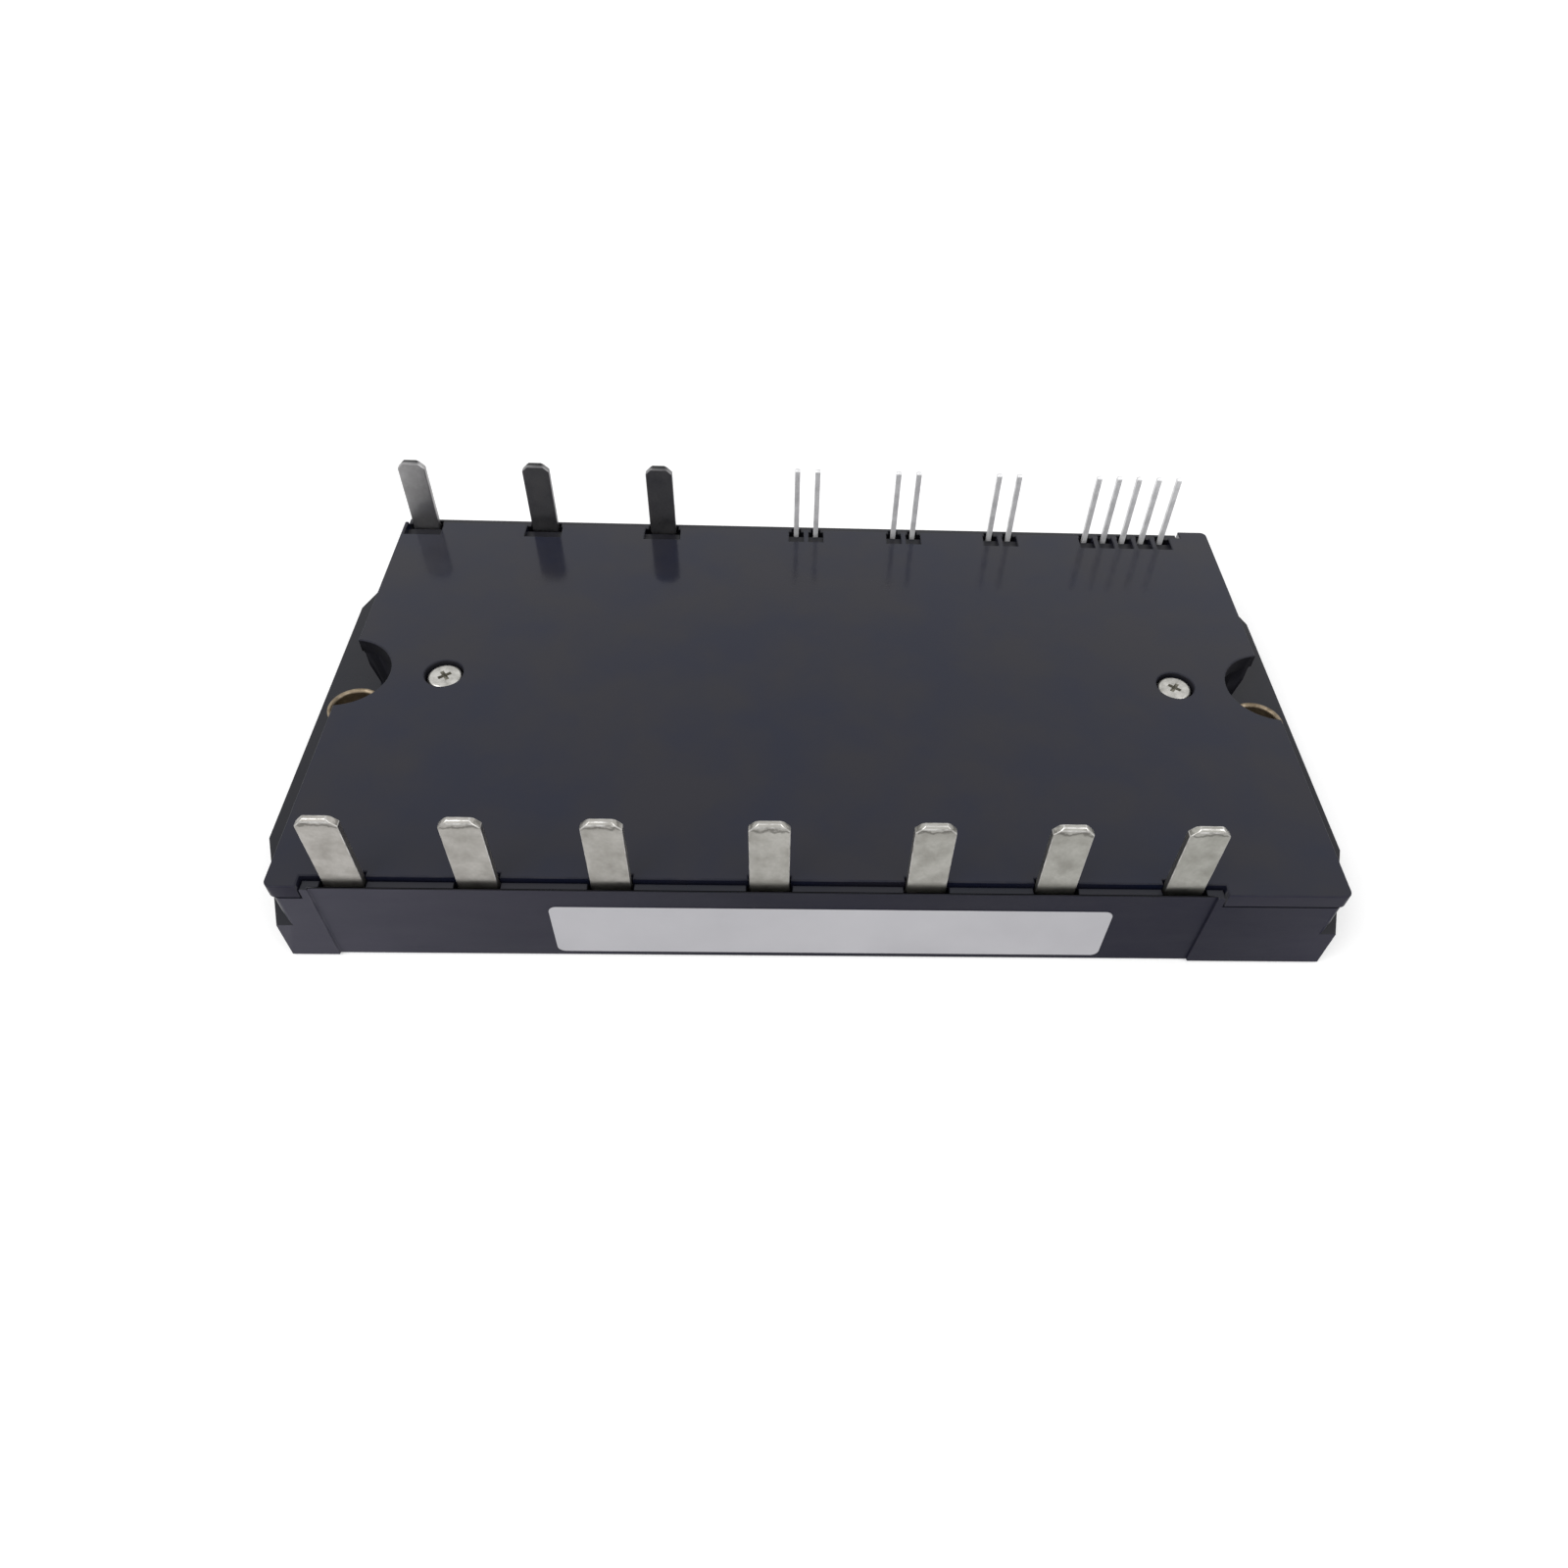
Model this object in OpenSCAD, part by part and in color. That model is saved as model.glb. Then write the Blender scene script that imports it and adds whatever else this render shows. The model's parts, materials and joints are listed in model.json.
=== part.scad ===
// Power semiconductor module: a moulded case with a screwed-on lid, seven
// blade terminals along the front edge, three blades and eleven signal pins
// along the back edge, two bushed mounting ears and the soldered circuit inside.
// Millimetres. X runs along the length, Y from front to back, Z up from the
// mounting face. The origin is the middle of the mounting face.

/* [Housing] */
// Length of the lid from end to end
lid_l = 105; // [102:0.1:112]
// Depth of the housing from front to back
body_w = 60; // [54:0.1:66]
// Height from the mounting face to the top of the lid
body_h = 11.7; // [11:0.1:14]
// Thickness of the lid, which is also the depth of its corner skirts
lid_t = 1.9; // [1.6:0.1:2.4]
// How far each end of the lid stands out past the case
lid_overhang = 0.3; // [0.1:0.05:0.6]
// Thickness of the long walls, which hold the terminals
side_wall = 6.4; // [5.6:0.1:7]
// Thickness of the end walls
end_wall = 4.05; // [3.2:0.05:5]
// Radius of the upright corners
corner_r = 0.8; // [0.4:0.1:1.5]
// Depth of the shallow recess that takes the label
recess_d = 0.25; // [0.1:0.05:0.3]

/* [Mounting ears] */
// Height of the ears above the mounting face
ear_h = 5.3; // [4.4:0.1:6]
// How far each ear stands out past the case
ear_out = 5.1; // [4.9:0.05:6]
// How far the ear's flange stands out at the corners of the case
ear_corner_out = 1; // [0.2:0.1:1.4]
// Length of the straight outer edge of an ear
ear_flat = 37.9; // [30:0.1:48]
// Distance between the two mounting holes
hole_pitch = 106; // [105:0.1:107]
// Bore of the mounting bushes
hole_d = 5.3; // [4.5:0.1:5.5]
// Wall thickness of the mounting bushes
bush_wall = 0.5; // [0.4:0.05:1.1]
// How far the bushes stand proud of the ears
bush_proud = 0.9; // [0:0.1:1.5]
// Radius of the half-round notch over each mounting hole
notch_r = 5.4; // [5.1:0.1:6.2]
// Height of the undercut along the ends of the case
undercut_h = 2.6; // [1.5:0.1:3.2]
// Depth of that undercut where it meets the ear
undercut_d = 0.65; // [0.3:0.05:1]

/* [Terminal rails] */
// Width of the case's rail outside the lid
rail_w = 1.15; // [1:0.05:1.4]
// How far the rails lie below the top of the lid
rail_drop = 0.5; // [0.2:0.1:0.9]
// Width of the seam between the lid and the rails
seam = 0.2; // [0.1:0.05:0.3]
// Rail beyond the last terminal of a row
rail_margin = 2; // [1:0.1:2.2]
// Distance from the long face to the middle of the terminals
row_inset = 1.25; // [1.2:0.05:1.4]

/* [Terminals] */
// Pitch of the grid that all terminals stand on
grid = 2.54; // [2.5:0.01:2.56]
// Place of the first front blade
front_x = -45.25; // [-45.6:0.05:-44]
// Place of the first back blade
back_x = -49.8; // [-49.9:0.1:-48.4]
// Place of the first signal pin
pin_x = -2; // [-2.4:0.1:-1]
// Width of a front blade
blade_w = 3.9; // [3.2:0.1:4.4]
// Width of a back blade
back_blade_w = 3.3; // [2.6:0.1:3.6]
// Thickness of a blade
blade_t = 0.8; // [0.6:0.05:0.9]
// Length of a blade above the lid
blade_h = 8.8; // [6:0.1:14]
// Chamfer at the corners of a blade's tip
blade_chamfer = 0.9; // [0.4:0.1:1.4]
// Width and thickness of a signal pin
pin_w = 0.64; // [0.5:0.01:0.8]
// Length of a signal pin above the lid
pin_h = 8.9; // [5:0.1:14]
// Width of a signal pin's bond pad
pin_pad_w = 1.5; // [1:0.1:1.8]
// Depth of the bond shelf inside the long walls
shelf_w = 1.9; // [1.5:0.1:2.4]
// Height of the bond shelf above the mounting face
shelf_h = 4.7; // [4.4:0.1:5]

/* [Lid screws] */
// Distance between the two lid screws
screw_pitch = 83.3; // [82.5:0.1:84.5]
// Thread diameter of a lid screw
screw_d = 2; // [1.8:0.1:2.3]
// Diameter of a screw's head
head_d = 3.8; // [3.4:0.1:4]
// Height of a screw's head
head_h = 1; // [0.9:0.1:1.3]
// Length of a screw below its head
screw_l = 5.5; // [4:0.1:6]
// Diameter of the counterbores in the lid
counterbore_d = 4.3; // [4.2:0.1:5]

/* [Label] */
// Width of the label
label_w = 55.8; // [30:0.1:70]
// Height of the label
label_h = 7.6; // [4:0.05:8]
// Thickness of the label
label_t = 0.1; // [0.05:0.01:0.15]
// Height of the middle of the label above the mounting face
label_z = 4.7; // [4.4:0.1:5.2]
// Place of the middle of the label along the front
label_x = 1.7; // [-5:0.1:5]

/* [Base plate and circuit] */
// Thickness of the base plate
plate_t = 2.5; // [2:0.1:2.8]
// How far the base plate stands out under the case
plate_proud = 0.1; // [0.05:0.05:0.2]
// How far the base plate reaches under the end walls
plate_lap = 2; // [1.2:0.1:2.4]
// How far the base plate reaches under the long walls
plate_lap_side = 3.2; // [2:0.1:3.6]
// Thickness of the adhesive between base plate and case
adhesive_t = 0.15; // [0.1:0.05:0.3]
// Length of the ceramic substrate
substrate_l = 76; // [76:0.5:76.5]
// Room between the ceramic substrate and the long walls
substrate_gap = 0.9; // [0.5:0.1:1.5]
// Thickness of the ceramic
ceramic_t = 0.64; // [0.4:0.01:0.8]
// Thickness of each copper layer
copper_t = 0.3; // [0.2:0.01:0.4]
// Thickness of a solder layer
solder_t = 0.12; // [0.08:0.01:0.2]
// Edge length of a transistor chip
igbt_s = 5; // [4:0.1:5.4]
// Edge length of a freewheel diode chip
diode_s = 4; // [3:0.1:4.4]
// Edge length of a rectifier diode chip
rectifier_s = 4.4; // [3.4:0.1:5]
// Thickness of a chip
chip_t = 0.3; // [0.2:0.01:0.4]
// Diameter of a power bond wire
wire_d = 0.4; // [0.3:0.01:0.45]
// Diameter of a signal bond wire
signal_wire_d = 0.25; // [0.15:0.01:0.3]
// Depth of the air gap between the gel and the lid
gel_gap = 1.2; // [1.1:0.1:1.6]

/* [Hidden] */
$fn = 48;
over = 1;                                 // how far a cutter runs past a face

case_x = lid_l/2 - lid_overhang;          // outer face of the end walls
side_y = body_w/2;                        // outer face of the long walls
ear_x = case_x + ear_out;
corner_x = case_x + ear_corner_out;
hole_x = hole_pitch/2;
bush_r = hole_d/2 + bush_wall;
bush_top = ear_h + bush_proud;
screw_x = screw_pitch/2;
lid_seat = body_h - lid_t;                // height at which the lid rests
rail_z = body_h - rail_drop;
lid_edge_y = side_y - rail_w - seam;
row_y = side_y - row_inset;               // middle plane of the terminals

front_slots = [0, 5, 10, 16, 22, 27, 32]; // places on the grid
back_slots = [0, 6, 12];
pin_slots = [0, 1, 5, 6, 10, 11, 15, 16, 17, 18, 19];
function front_place(i) = front_x + grid*front_slots[i];
function back_place(i) = back_x + grid*back_slots[i];
function pin_place(i) = pin_x + grid*pin_slots[i];

front_rail = [front_place(0) - blade_w/2 - rail_margin,
              front_place(6) + blade_w/2 + rail_margin];
back_rail = [-case_x, pin_place(10) + pin_w/2 + rail_margin];
recess_inset = 0.75;                      // end of the recess inside the rail's end

cav_x = case_x - end_wall;                // cavity above the shelf
cav_y = side_y - side_wall;
cav_low_y = cav_y - shelf_w;              // cavity below the shelf
cav_r = 2;
boss_wall = 1.6;                          // wall round a notch and a lid screw
post_r = screw_d/2 + boss_wall;
plate_x = cav_x + plate_lap;
plate_y = cav_y + plate_lap_side;
plate_r = 1.5;
plate_fit = 0.1;                          // clearance round the base plate
bush_land = 1.3;                          // moulding between bush and base plate
frame_z = plate_t + adhesive_t;           // underside of the case over the plate

pocket_gap = 0.25;                        // play beside a terminal in its pocket
pocket_front = 0.45;                      // play outside a terminal in its pocket
pocket_depth = 1.2;
notch_gap = 0.25;                         // lid cut away this far from a terminal
dish_l = 2.3;                             // shallow dish in the lid before a back terminal
dish_depth = 0.8;
seam_step = 0.2;                          // relief under the lid's outer edge
blade_bevel = 0.2;
pin_bevel = 0.18;
pad_l = 1.5;                              // bond pad inside the wall

counter_floor = 0.4;                      // lid left under a screw head
lid_hole_gap = 0.3;
rib_t = 1.2;
rib_h = 1;
rib_gap = 0.15;
rib_end = 9;                              // ribs stop short of the corners

label_r = 0.8;

sub_solder_z = plate_t;
sub_low_z = sub_solder_z + solder_t;
ceramic_z = sub_low_z + copper_t;
track_z = ceramic_z + ceramic_t;
chip_solder_z = track_z + copper_t;
chip_z = chip_solder_z + solder_t;
chip_top = chip_z + chip_t;
copper_margin = 0.8;                      // bare ceramic round the copper
gel_z = lid_seat - gel_gap;

substrate_w = 2*(cav_low_y - substrate_gap);
track_x = substrate_l/2 - copper_margin;
track_y = substrate_w/2 - copper_margin;
track_gap = 0.9;
solder_rim = 0.15;                        // solder showing round a chip

signal_pad_l = 3.8;                       // landing pads of the signal pins
signal_pad_w = 1.6;
signal_pad_pitch = 2.1;
signal_y = track_y - signal_pad_l;        // front edge of the signal pads

phase_pitch = 12.5;                       // inverter columns, the brake before them
phase_x0 = 5.4;
brake_x = -4.3;
output_pad_l = 6.6;                       // front part of the output tracks
landing_l = 1.4;                          // strip for wires behind the low chips
split_y = -track_y + output_pad_l;
chip_gap = (signal_y - split_y - 2*track_gap - landing_l - 2*(igbt_s + diode_s))/6;
low_diode_y = split_y + chip_gap + diode_s/2;
low_igbt_y = low_diode_y + diode_s/2 + chip_gap + igbt_s/2;
landing_y = low_igbt_y + igbt_s/2 + chip_gap + landing_l/2;
high_track_y = landing_y + landing_l/2 + track_gap;
high_diode_y = high_track_y + chip_gap + diode_s/2;
high_igbt_y = high_diode_y + diode_s/2 + chip_gap + igbt_s/2;

rect_pitch = 9.8;                         // rectifier columns
rect_x0 = -32.2;
input_track_l = 9.1;
plus_track_l = 9.8;
rect_inset = 1.3;                         // chip inside its input track
input_y = track_y - input_track_l;        // front edge of the input tracks
plus_y = input_y - track_gap - plus_track_l;
rect_low_y = input_y + rect_inset + rectifier_s/2;
rect_high_y = plus_y + plus_track_l/2;
plus_leg_w = 7.6;                         // plus track's leg to the front edge

wire_spread = 1;                          // half the distance between paired wires
power_rise = 1.5;                         // heights of the wires' loops
long_rise = 2.4;
signal_rise = 1.2;
edge_bond = 1;                            // bond inside the edge of the tracks
strip_bond = 0.8;                         // bond inside a track's free strip
pad_keep = 0.4;                           // bond pad clear of the end wall

function phase_place(i) = phase_x0 + phase_pitch*i;
function rect_place(i) = rect_x0 + rect_pitch*i;
igbt_places = [for (i = [0:2]) [phase_place(i), high_igbt_y],
               for (i = [0:2]) [phase_place(i), low_igbt_y],
               [brake_x, low_igbt_y]];
diode_places = [for (i = [0:2]) [phase_place(i), high_diode_y],
                for (i = [0:2]) [phase_place(i), low_diode_y],
                [brake_x, high_diode_y]];
rectifier_places = [for (i = [0:2]) [rect_place(i), rect_high_y],
                    for (i = [0:2]) [rect_place(i), rect_low_y]];

// Rectangle l by w about the origin with corners of radius r
module rounded(l, w, r) {
    square([l - 2*r, w], center = true);
    square([l, w - 2*r], center = true);
    for (x = [-1, 1], y = [-1, 1])
        translate([x*(l/2 - r), y*(w/2 - r)]) circle(r);
}

// Box from the corner a to the corner b
module block(a, b) {
    translate(a) cube(b - a);
}

// ---- housing ----

module flange_outline() {
    half = [[corner_x, -side_y], [ear_x, -ear_flat/2], [ear_x, ear_flat/2], [corner_x, side_y]];
    polygon(concat(half, [for (i = [3:-1:0]) [-half[i].x, half[i].y]]));
}

// Wall round a mounting notch, with the post for the lid screw
module end_boss() {
    for (s = [-1, 1]) {
        translate([s*hole_x, 0]) circle(notch_r + boss_wall);
        translate([s*screw_x, 0]) circle(post_r);
        translate([s*(screw_x + hole_x)/2, 0]) square([hole_x - screw_x, 2*post_r], center = true);
    }
}

module cavity_outline(half_y) {
    difference() {
        rounded(2*cav_x, 2*half_y, cav_r);
        end_boss();
    }
}

// Outline of the base plate, grown by a clearance
module plate_outline(grow = 0) {
    difference() {
        rounded(2*(plate_x + grow), 2*(plate_y + grow), plate_r + grow);
        for (s = [-1, 1]) translate([s*hole_x, 0]) circle(bush_r + bush_land - grow);
    }
}

module rail(span, side) {
    inner = side_y - rail_w;
    translate([span[0], side > 0 ? inner : -side_y, lid_seat])
        cube([span[1] - span[0], rail_w, rail_z - lid_seat]);
}

// Upper part of the case, undercut along both ends
module case_upper() {
    difference() {
        translate([0, 0, ear_h]) linear_extrude(lid_seat - ear_h)
            rounded(2*case_x, body_w, corner_r);
        for (s = [0, 1]) mirror([s, 0, 0]) rotate([90, 0, 0])
            linear_extrude(body_w + 2*over, center = true)
                polygon([[case_x - undercut_d, ear_h], [case_x + over, ear_h],
                         [case_x + over, ear_h + undercut_h], [case_x, ear_h + undercut_h]]);
    }
}

// Room beside and outside a terminal where it leaves the rail
module pocket(x, w, t, side) {
    y0 = side_y - rail_w - seam;
    y1 = row_y + t/2 + pocket_front;
    translate([x - w/2 - pocket_gap, side > 0 ? y0 : -y1, rail_z - pocket_depth])
        cube([w + 2*pocket_gap, y1 - y0, pocket_depth + over]);
}

module pockets() {
    for (i = [0:6]) pocket(front_place(i), blade_w, blade_t, -1);
    for (i = [0:2]) pocket(back_place(i), back_blade_w, blade_t, 1);
    for (i = [0:10]) pocket(pin_place(i), pin_w, pin_w, 1);
}

module case() color("#2c2d33") difference() {
    union() {
        translate([0, 0, plate_proud]) linear_extrude(ear_h - plate_proud) flange_outline();
        case_upper();
        rail(front_rail, -1);
        rail(back_rail, 1);
    }
    translate([0, 0, shelf_h]) linear_extrude(body_h) cavity_outline(cav_y);
    translate([0, 0, plate_proud]) linear_extrude(body_h) cavity_outline(cav_low_y);
    translate([0, 0, -over]) linear_extrude(frame_z + over) plate_outline(plate_fit);
    for (s = [-1, 1]) {
        translate([s*hole_x, 0, ear_h]) cylinder(h = body_h, r = notch_r);
        translate([s*hole_x, 0, -over]) cylinder(h = ear_h + 2*over, r = bush_r);
        translate([s*screw_x, 0, lid_seat + counter_floor - screw_l])
            cylinder(h = body_h, d = screw_d);
    }
    block([front_rail[0] + recess_inset, -side_y - over, -over],
          [front_rail[1] - recess_inset, -side_y + recess_d, body_h]);
    pockets();
    for (i = [0:6]) front_terminal(i);
    for (i = [0:2]) back_terminal(i);
    for (i = [0:10]) pin_terminal(i);
}

// Cut in the lid's edge, down to the height z, that reaches a length inside a terminal
module lid_notch(x, w, t, side, length, z) {
    y0 = row_y - t/2 - length;
    translate([x - w/2, side > 0 ? y0 : -side_y, z])
        cube([w, side_y - y0, body_h + over - z]);
}

module lid_notches() {
    floor_z = lid_seat - over;
    dish_z = body_h - dish_depth;
    for (i = [0:6])
        lid_notch(front_place(i), blade_w + pocket_gap, blade_t, -1, notch_gap, floor_z);
    for (i = [0:2]) {
        w = back_blade_w + 5*pocket_gap;
        lid_notch(back_place(i), w, blade_t, 1, notch_gap, floor_z);
        lid_notch(back_place(i), w, blade_t, 1, dish_l, dish_z);
    }
    for (i = [0:10]) {
        w = pin_w + 5*pocket_gap;
        lid_notch(pin_place(i), w, pin_w, 1, notch_gap, floor_z);
        lid_notch(pin_place(i), w, pin_w, 1, dish_l, dish_z);
    }
}

// Groove that the lid's outer edge makes above the case
module seam_groove() {
    translate([0, 0, lid_seat - over]) linear_extrude(over + seam_step) difference() {
        square([lid_l + 2*over, body_w + 2*over], center = true);
        rounded(lid_l - 2*seam_step, body_w - 2*seam_step, corner_r);
    }
}

module lid() color("#3f4249") difference() {
    union() {
        translate([0, 0, lid_seat]) linear_extrude(lid_t) difference() {
            rounded(lid_l, body_w, corner_r);
            translate([front_rail[0] - seam, -side_y - over])
                square([front_rail[1] - front_rail[0] + 2*seam, side_y + over - lid_edge_y]);
            translate([-lid_l/2 - over, lid_edge_y])
                square([back_rail[1] + seam + lid_l/2 + over, side_y + over - lid_edge_y]);
        }
        for (s = [-1, 1])
            translate([0, s*(cav_y - rib_gap - rib_t/2), lid_seat - rib_h/2])
                cube([2*(cav_x - rib_end), rib_t, rib_h], center = true);
    }
    for (s = [-1, 1]) {
        translate([s*hole_x, 0, 0]) cylinder(h = body_h + over, r = notch_r);
        translate([s*screw_x, 0, lid_seat - over])
            cylinder(h = lid_t + 2*over, d = screw_d + lid_hole_gap);
        translate([s*screw_x, 0, lid_seat + counter_floor]) cylinder(h = lid_t, d = counterbore_d);
    }
    lid_notches();
    seam_groove();
}

// ---- fasteners and mounting bushes ----

module lid_screw(side) {
    edge = 0.35;                          // rounding of the head's rim
    drive_w = 0.45;
    drive_l = 2;
    drive_depth = 0.7;
    z = lid_seat + counter_floor;
    color("#b9b9b6") translate([side*screw_x, 0, z]) difference() {
        union() {
            rotate_extrude() {
                square([head_d/2 - edge, head_h]);
                square([head_d/2, head_h - edge]);
                translate([head_d/2 - edge, head_h - edge]) circle(edge);
            }
            translate([0, 0, -screw_l]) cylinder(h = screw_l, d = screw_d);
        }
        for (a = [35, 125]) rotate(a)
            translate([-drive_l/2, -drive_w/2, head_h - drive_depth])
                cube([drive_l, drive_w, drive_depth + over]);
    }
}

module mounting_bush(side) {
    lead = 0.25;                          // chamfer at both mouths
    color("#9c8560") translate([side*hole_x, 0, 0]) rotate_extrude()
        polygon([[hole_d/2 + lead, 0], [bush_r, 0], [bush_r, bush_top],
                 [hole_d/2 + lead, bush_top], [hole_d/2, bush_top - lead], [hole_d/2, lead]]);
}

// ---- terminals ----

// Upright bar with chamfered corners and a bevelled tip
module upright(w, t, tip, chamfer, bevel) {
    drop = 1.5*bevel;
    intersection() {
        rotate([90, 0, 0]) linear_extrude(t, center = true)
            polygon([[-w/2, shelf_h], [w/2, shelf_h], [w/2, tip - chamfer],
                     [w/2 - chamfer, tip], [-w/2 + chamfer, tip], [-w/2, tip - chamfer]]);
        rotate([90, 0, 90]) linear_extrude(w, center = true)
            polygon([[-t/2, shelf_h], [t/2, shelf_h], [t/2, tip - drop],
                     [t/2 - bevel, tip], [-t/2 + bevel, tip], [-t/2, tip - drop]]);
    }
}

// Foot from the upright, through the wall, to the bond shelf on the front side
module foot(x, pad_x, t, pad_w, leg_w) {
    y_out = -row_y - t/2;
    y_turn = -cav_y - pad_l;
    block([min(x - leg_w/2, pad_x - pad_w/2), y_out, shelf_h],
          [max(x + leg_w/2, pad_x + pad_w/2), y_turn, shelf_h + t]);
    block([pad_x - pad_w/2, y_out, shelf_h], [pad_x + pad_w/2, -cav_y + pad_l, shelf_h + t]);
}

// Place of a blade's bond pad, which stays inside the cavity
function pad_place(x, w) =
    let (limit = cav_x - w/2 - pad_keep) min(max(x, -limit), limit);

module blade(x, w) {
    translate([x, -row_y, 0]) upright(w, blade_t, body_h + blade_h, blade_chamfer, blade_bevel);
    foot(x, pad_place(x, w), blade_t, w, w);
}

module pin(x) {
    translate([x, -row_y, 0]) upright(pin_w, pin_w, body_h + pin_h, pin_bevel, pin_bevel);
    foot(x, x, pin_w, pin_pad_w, pin_w);
}

module front_terminal(i) blade(front_place(i), blade_w);
module back_terminal(i) mirror([0, 1, 0]) blade(back_place(i), back_blade_w);
module pin_terminal(i) mirror([0, 1, 0]) pin(pin_place(i));

module front_blade(i) color("#a5a39e") front_terminal(i - 1);
module back_blade(i) color("#8f8f8d") back_terminal(i - 1);
module signal_pin(i) color("#a9a9a6") pin_terminal(i - 1);

// ---- label, base plate and adhesive ----

module label() {
    y = -side_y + recess_d;
    color("#c9c9ce") translate([label_x, y, label_z]) rotate([90, 0, 0])
        linear_extrude(label_t) rounded(label_w, label_h, label_r);
}

module base_plate() color("#b4aca4") linear_extrude(plate_t) plate_outline();

module base_adhesive() color("#d8d5cc") translate([0, 0, plate_t]) linear_extrude(adhesive_t)
    difference() {
        plate_outline();
        cavity_outline(cav_low_y);
    }

// ---- soldered circuit ----

module substrate_solder() color("#8a8c90") translate([0, 0, sub_solder_z])
    linear_extrude(solder_t)
        square([substrate_l - 2*copper_margin, substrate_w - 2*copper_margin], center = true);

module substrate_lower_copper() color("#b87346") translate([0, 0, sub_low_z])
    linear_extrude(copper_t)
        square([substrate_l - 2*copper_margin, substrate_w - 2*copper_margin], center = true);

module substrate_ceramic() color("#ece9e0") translate([0, 0, ceramic_z])
    linear_extrude(ceramic_t) square([substrate_l, substrate_w], center = true);

// Flat copper area from the corner a to the corner b
module track(a, b) {
    translate(a) square(b - a);
}

module substrate_tracks() color("#c07a48") translate([0, 0, track_z]) linear_extrude(copper_t) {
    g = track_gap;
    rect_half = (rect_pitch - g)/2;
    rect_end = rect_place(2) + rect_half;
    phase_half = (phase_pitch - g)/2;
    neck = 1;                             // output track's front part beside its column
    leg_x = -track_x + plus_leg_w;
    // rectifier: input tracks, plus track with its leg, minus track
    for (i = [0:2])
        track([max(rect_place(i) - rect_half, -track_x), input_y],
              [rect_place(i) + rect_half, track_y]);
    track([-track_x, plus_y], [rect_end, input_y - g]);
    track([-track_x, -track_y], [leg_x, plus_y]);
    track([leg_x + g, -track_y], [rect_end, plus_y - g]);
    // inverter: plus track, brake track, output and minus tracks
    track([rect_end + g, high_track_y], [track_x, signal_y - g]);
    track([rect_end + g, -track_y], [phase_place(0) - phase_half - g, high_track_y - g]);
    for (i = [0:2]) {
        x = phase_place(i);
        track([x - phase_half, split_y], [x + phase_half, high_track_y - g]);
        track([x - phase_half, -track_y], [x + neck, split_y]);
        track([x + neck + g, -track_y], [x + phase_half, split_y - g]);
    }
    // landing pads of the signal pins
    for (i = [0:10])
        track([landing_place(i) - signal_pad_w/2, signal_y],
              [landing_place(i) + signal_pad_w/2, track_y]);
}

// Signal pads keep to the substrate where the pins stand beyond it
function landing_place(i) =
    min(pin_place(i), track_x - signal_pad_w/2 - signal_pad_pitch*(10 - i));

module chip(place, s) {
    translate([place.x, place.y, chip_z + chip_t/2]) cube([s, s, chip_t], center = true);
}

module igbt_chip(i) color("#6f7682") chip(igbt_places[i - 1], igbt_s);
module freewheel_diode(i) color("#7d828a") chip(diode_places[i - 1], diode_s);
module rectifier_diode(i) color("#84878c") chip(rectifier_places[i - 1], rectifier_s);

module solder_pad(place, s) {
    translate([place.x, place.y, chip_solder_z + solder_t/2])
        cube([s + 2*solder_rim, s + 2*solder_rim, solder_t], center = true);
}

module chip_solder() color("#9a9ca0") {
    for (p = igbt_places) solder_pad(p, igbt_s);
    for (p = diode_places) solder_pad(p, diode_s);
    for (p = rectifier_places) solder_pad(p, rectifier_s);
}

// Round wire in an arc from the point p to the point q, wedge-bonded at both
module bond_wire(p, q, d, rise) {
    v = q - p;
    span = norm(v);
    lift = d/2;                           // wire's axis at the bonds
    r = (span*span/4 + rise*rise)/(2*rise);
    half = asin(span/2/r);
    az = atan2(v.y, v.x);
    translate(p + [0, 0, lift]) rotate([0, -asin(v.z/span), az])
        translate([span/2, 0, rise - r]) rotate([90, 0, 0]) rotate(90 - half)
            rotate_extrude(angle = 2*half) translate([r, 0]) circle(d = d, $fn = 16);
    for (e = [p, q]) translate(e + [0, 0, 0.55*d]) rotate(az)
        cube([2.2*d, 1.3*d, 1.1*d], center = true);
}

// Pair of wires from a blade's pad to the substrate
module blade_wires(x, w, land, side) {
    limit = track_x - wire_spread - strip_bond;
    for (k = [-wire_spread, wire_spread])
        bond_wire([pad_place(x, w) + k, side*(cav_y - pad_l/2), shelf_h + blade_t],
                  [min(max(land, -limit), limit) + k, side*(track_y - edge_bond), chip_solder_z],
                  wire_d, power_rise);
}

module terminal_wires() color("#c9ccd0") {
    plus_land = -track_x + plus_leg_w - wire_spread - strip_bond;
    output_land = -2;                     // bonds beside the middle of a column
    landings = [-track_x, plus_land, front_place(2), brake_x,
                for (i = [0:2]) phase_place(i) + output_land];
    for (i = [0:6]) blade_wires(front_place(i), blade_w, landings[i], -1);
    for (i = [0:2]) blade_wires(back_place(i), back_blade_w, rect_place(i), 1);
    for (i = [0:10])
        bond_wire([pin_place(i), cav_y - pad_l/2, shelf_h + pin_w],
                  [landing_place(i), track_y - edge_bond, chip_solder_z],
                  signal_wire_d, signal_rise);
}

// Pair of wires from a transistor chip to its diode
module switch_wires(x, igbt_y, diode_y) {
    for (k = [-wire_spread, wire_spread])
        bond_wire([x + k, igbt_y - igbt_s/5, chip_top], [x + k, diode_y, chip_top],
                  wire_d, power_rise);
}

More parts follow.
